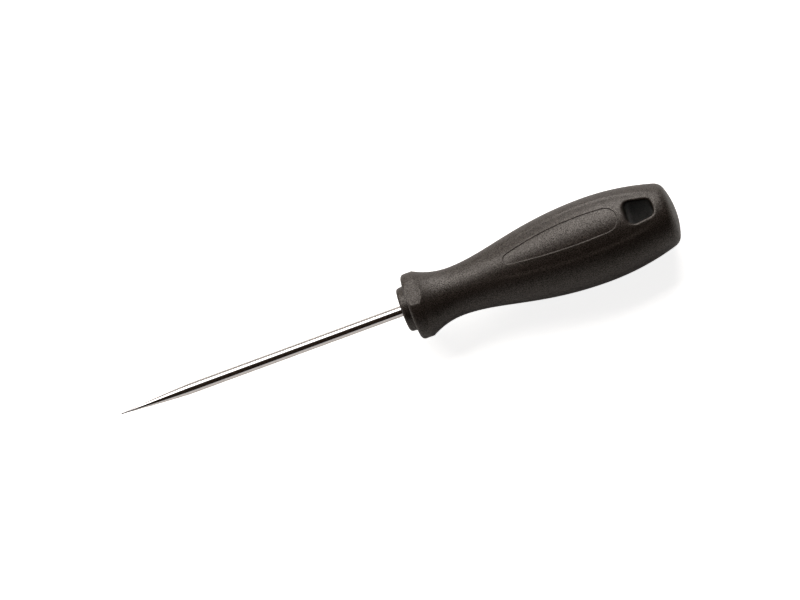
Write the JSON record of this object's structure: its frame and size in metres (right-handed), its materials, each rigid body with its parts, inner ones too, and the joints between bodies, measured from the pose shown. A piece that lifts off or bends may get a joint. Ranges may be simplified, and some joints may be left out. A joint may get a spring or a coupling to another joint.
{
  "type": "bradawl",
  "caption": "Bradawl with a straight round steel blade ground to a long point and a black moulded plastic handle with collar, waisted neck, swelling belly and hang hole.",
  "frame": {"origin": "on the tool's axis, in the front face of the handle's nose, where the blade comes out", "axes": "+X along the tool from the point to the butt, +Z along the hang hole and out of the side with the teardrop field, so that the tool lies on its side; +Y completes the frame"},
  "size_m": [0.215, 0.0318, 0.0313],
  "materials": {
    "chromed_steel": "bright chrome plating on drawn steel, with a ground point",
    "core_plastic": "black polypropylene with a fine spark-eroded mould grain",
    "grip_plastic": "black polypropylene with a fine spark-eroded mould grain"
  },
  "bodies": {
    "root": {"blade": "chromed_steel", "handle_core": "core_plastic", "handle_grip": "grip_plastic"}
  },
  "joints": []
}
